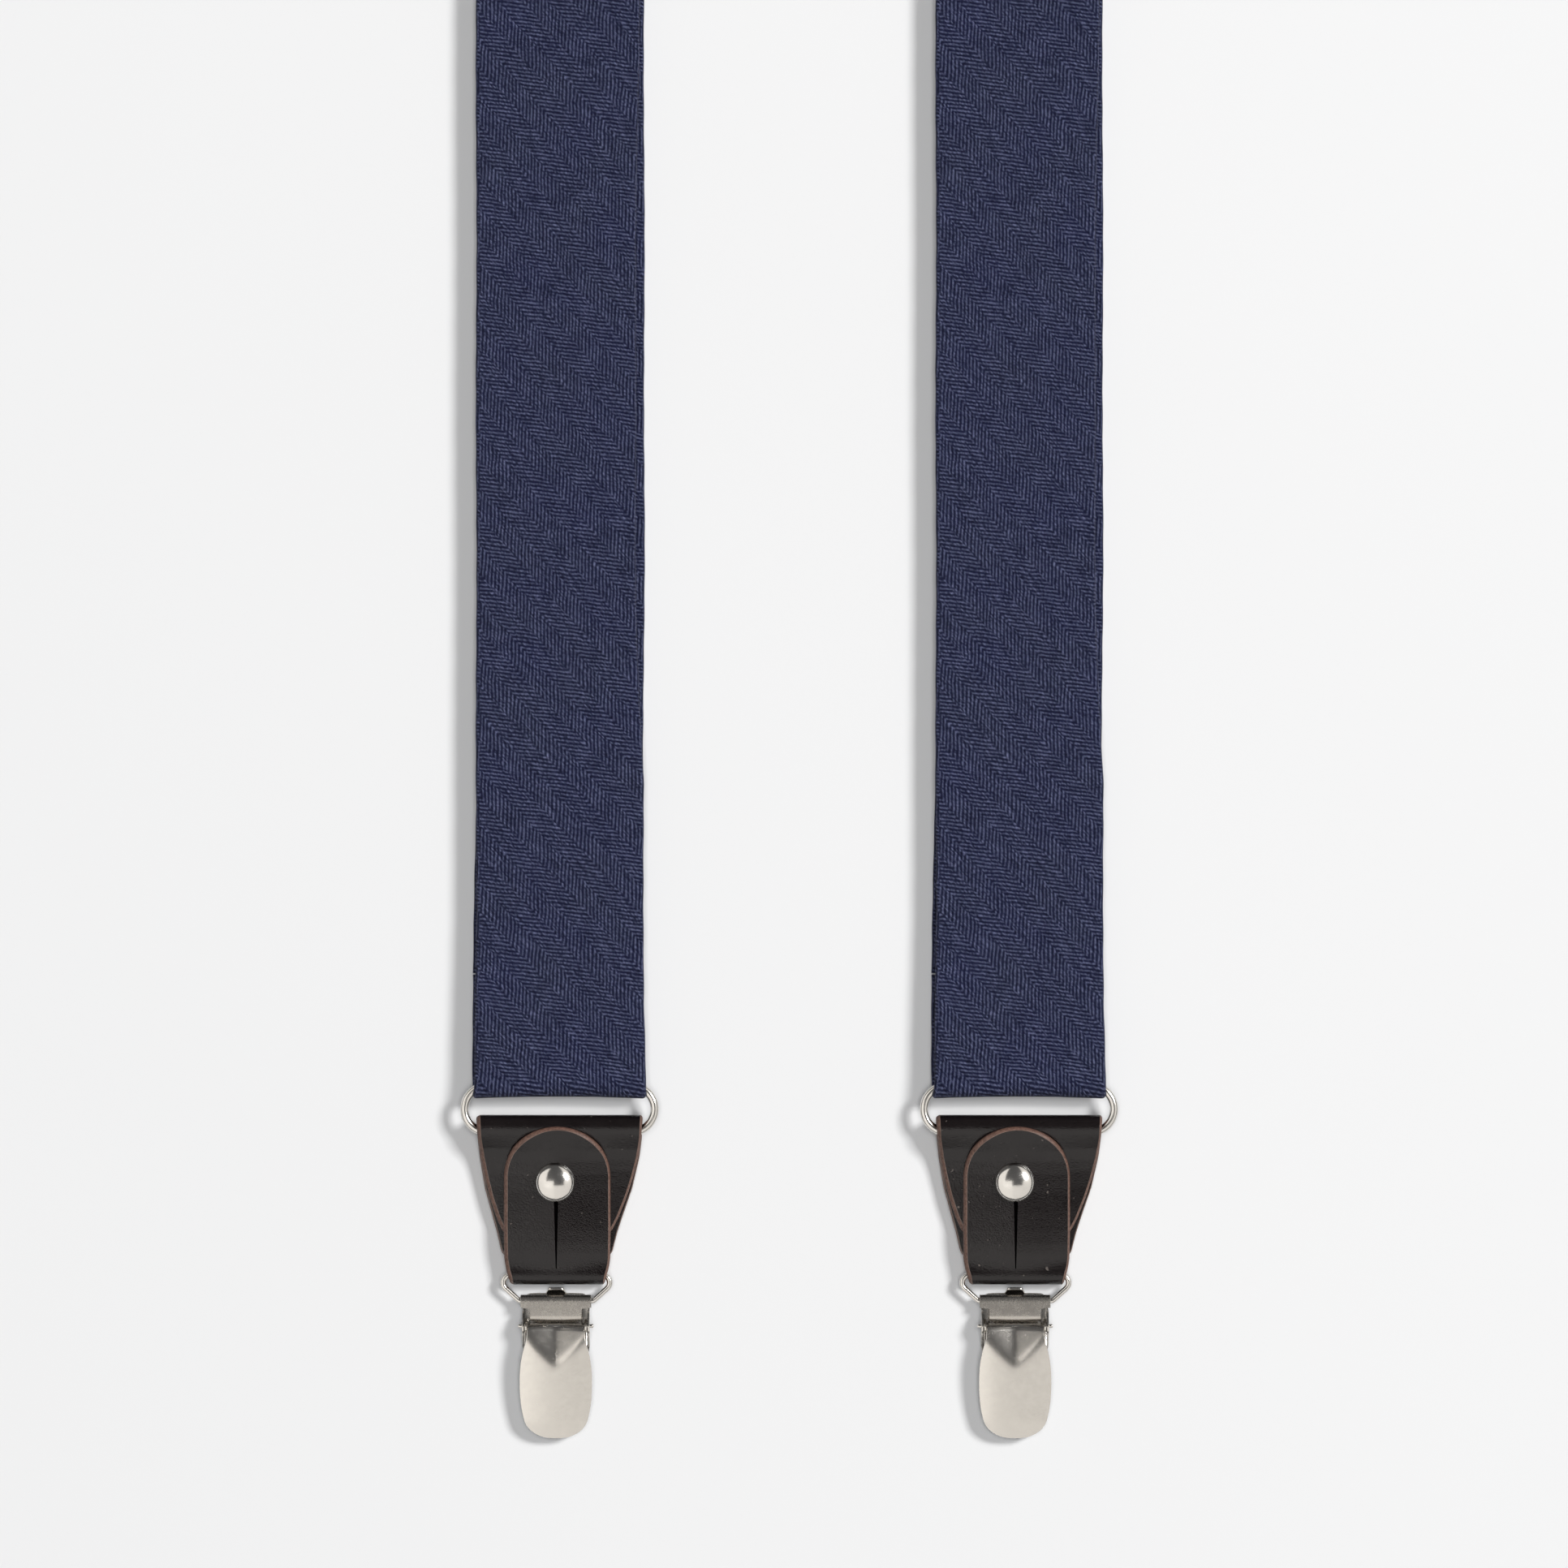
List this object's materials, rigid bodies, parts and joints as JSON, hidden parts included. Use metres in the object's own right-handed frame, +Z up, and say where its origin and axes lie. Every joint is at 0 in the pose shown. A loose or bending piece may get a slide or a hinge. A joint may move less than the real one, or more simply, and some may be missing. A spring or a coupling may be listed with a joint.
{
  "type": "suspenders",
  "caption": "Y-back suspenders laid flat: cloth straps with length adjusters, a leather back patch, elastic, and lever clips on leather tabs that hang from wire rings.",
  "frame": {"origin": "bottom centre of the bounding box, on the surface that the suspenders lie on", "axes": "+Z up, towards the side worn outwards; +Y along the straps from the front clips to the back clip; +X to the right, seen from above with the back clip at the top"},
  "size_m": [0.1372, 1.0182, 0.0089],
  "materials": {
    "herringbone": "navy herringbone cloth",
    "elastic": "ribbed navy elastic",
    "interlining": "plain woven",
    "leather": "smooth, semi-gloss, with raw brown edges",
    "nickel": "polished nickel",
    "satin_nickel": "satin nickel plate",
    "grip_plastic": "moulded"
  },
  "bodies": {
    "straps": {"front_strap_cover_left": "herringbone", "front_strap_cover_right": "herringbone", "front_strap_interlining_left": "interlining", "front_strap_interlining_right": "interlining", "front_strap_return_left": "herringbone", "front_strap_return_right": "herringbone", "back_patch_under": "leather", "back_patch_top": "leather", "back_elastic": "elastic"},
    "slider_left": {"slider_frame_left": "nickel", "slider_strap_end_left": "herringbone"},
    "slider_right": {"slider_frame_right": "nickel", "slider_strap_end_right": "herringbone"},
    "elastic_end": {"back_elastic_end": "elastic"},
    "ring_left": {"ring_left": "nickel"},
    "leather_left": {"leather_yoke_left": "leather", "leather_tab_left": "leather", "stud_left": "nickel", "stud_base_left": "nickel"},
    "bail_left": {"clip_bail_left": "nickel"},
    "clip_left": {"clip_base_left": "satin_nickel", "clip_pin_left": "nickel", "clip_grip_pad_left": "grip_plastic"},
    "jaw_left": {"clip_jaw_left": "satin_nickel"},
    "lever_left": {"clip_lever_left": "satin_nickel"},
    "ring_right": {"ring_right": "nickel"},
    "leather_right": {"leather_yoke_right": "leather", "leather_tab_right": "leather", "stud_right": "nickel", "stud_base_right": "nickel"},
    "bail_right": {"clip_bail_right": "nickel"},
    "clip_right": {"clip_base_right": "satin_nickel", "clip_pin_right": "nickel", "clip_grip_pad_right": "grip_plastic"},
    "jaw_right": {"clip_jaw_right": "satin_nickel"},
    "lever_right": {"clip_lever_right": "satin_nickel"},
    "ring_back": {"ring_back": "nickel"},
    "leather_back": {"leather_yoke_back": "leather", "leather_tab_back": "leather", "stud_back": "nickel", "stud_base_back": "nickel"},
    "bail_back": {"clip_bail_back": "nickel"},
    "clip_back": {"clip_base_back": "satin_nickel", "clip_pin_back": "nickel", "clip_grip_pad_back": "grip_plastic"},
    "jaw_back": {"clip_jaw_back": "satin_nickel"},
    "lever_back": {"clip_lever_back": "satin_nickel"}
  },
  "joints": [
    {"name": "length_adjust_left", "type": "slide", "parent": "straps", "child": "slider_left", "axis": [0, 1, 0], "range_m": [-0.035, 0.035], "deforming": ["front_strap_return_left"]},
    {"name": "length_adjust_right", "type": "slide", "parent": "straps", "child": "slider_right", "axis": [0, 1, 0], "range_m": [-0.035, 0.035], "deforming": ["front_strap_return_right"]},
    {"name": "elastic_stretch", "type": "slide", "parent": "straps", "child": "elastic_end", "axis": [0, 1, 0], "range_m": [0, 0.08], "stiffness_N_per_m": 60, "deforming": ["back_elastic"]},
    {"name": "ring_swing_left", "type": "hinge", "parent": "straps", "child": "ring_left", "pos_m": [-0.048, -0.43512, 0.00487], "axis": [1, 0, 0], "range_deg": [-40, 40]},
    {"name": "leather_swing_left", "type": "hinge", "parent": "ring_left", "child": "leather_left", "pos_m": [-0.048, -0.44488, 0.00487], "axis": [1, 0, 0], "range_deg": [-50, 50]},
    {"name": "bail_swing_left", "type": "hinge", "parent": "leather_left", "child": "bail_left", "pos_m": [-0.048, -0.47475, 0.00285], "axis": [1, 0, 0], "range_deg": [-60, 60]},
    {"name": "clip_swing_left", "type": "hinge", "parent": "bail_left", "child": "clip_left", "pos_m": [-0.0488, -0.4802, 0.00285], "axis": [1, 0, 0], "range_deg": [-45, 45]},
    {"name": "lever_open_left", "type": "hinge", "parent": "clip_left", "child": "lever_left", "pos_m": [-0.0488, -0.4854, 0.00395], "axis": [-1, 0, 0], "range_deg": [0, 90]},
    {"name": "jaw_open_left", "type": "hinge", "parent": "clip_left", "child": "jaw_left", "pos_m": [-0.0488, -0.4802, 0.00285], "axis": [-1, 0, 0], "range_deg": [0, 8]},
    {"name": "ring_swing_right", "type": "hinge", "parent": "straps", "child": "ring_right", "pos_m": [0.048, -0.43512, 0.00487], "axis": [1, 0, 0], "range_deg": [-40, 40]},
    {"name": "leather_swing_right", "type": "hinge", "parent": "ring_right", "child": "leather_right", "pos_m": [0.048, -0.44488, 0.00487], "axis": [1, 0, 0], "range_deg": [-50, 50]},
    {"name": "bail_swing_right", "type": "hinge", "parent": "leather_right", "child": "bail_right", "pos_m": [0.048, -0.47475, 0.00285], "axis": [1, 0, 0], "range_deg": [-60, 60]},
    {"name": "clip_swing_right", "type": "hinge", "parent": "bail_right", "child": "clip_right", "pos_m": [0.0472, -0.4802, 0.00285], "axis": [1, 0, 0], "range_deg": [-45, 45]},
    {"name": "lever_open_right", "type": "hinge", "parent": "clip_right", "child": "lever_right", "pos_m": [0.0472, -0.4854, 0.00395], "axis": [-1, 0, 0], "range_deg": [0, 90]},
    {"name": "jaw_open_right", "type": "hinge", "parent": "clip_right", "child": "jaw_right", "pos_m": [0.0472, -0.4802, 0.00285], "axis": [-1, 0, 0], "range_deg": [0, 8]},
    {"name": "ring_swing_back", "type": "hinge", "parent": "elastic_end", "child": "ring_back", "pos_m": [0, 0.43512, 0.00487], "axis": [-1, 0, 0], "range_deg": [-40, 40]},
    {"name": "leather_swing_back", "type": "hinge", "parent": "ring_back", "child": "leather_back", "pos_m": [0, 0.44488, 0.00487], "axis": [-1, 0, 0], "range_deg": [-50, 50]},
    {"name": "bail_swing_back", "type": "hinge", "parent": "leather_back", "child": "bail_back", "pos_m": [0, 0.47475, 0.00285], "axis": [-1, 0, 0], "range_deg": [-60, 60]},
    {"name": "clip_swing_back", "type": "hinge", "parent": "bail_back", "child": "clip_back", "pos_m": [0.0008, 0.4802, 0.00285], "axis": [-1, 0, 0], "range_deg": [-45, 45]},
    {"name": "lever_open_back", "type": "hinge", "parent": "clip_back", "child": "lever_back", "pos_m": [0.0008, 0.4854, 0.00395], "axis": [1, 0, 0], "range_deg": [0, 90]},
    {"name": "jaw_open_back", "type": "hinge", "parent": "clip_back", "child": "jaw_back", "pos_m": [0.0008, 0.4802, 0.00285], "axis": [1, 0, 0], "range_deg": [0, 8]}
  ],
  "couplings": [
    {"joint": "jaw_open_left", "follows": "lever_open_left", "ratio": 0.0888},
    {"joint": "jaw_open_right", "follows": "lever_open_right", "ratio": 0.0888},
    {"joint": "jaw_open_back", "follows": "lever_open_back", "ratio": 0.0888}
  ]
}
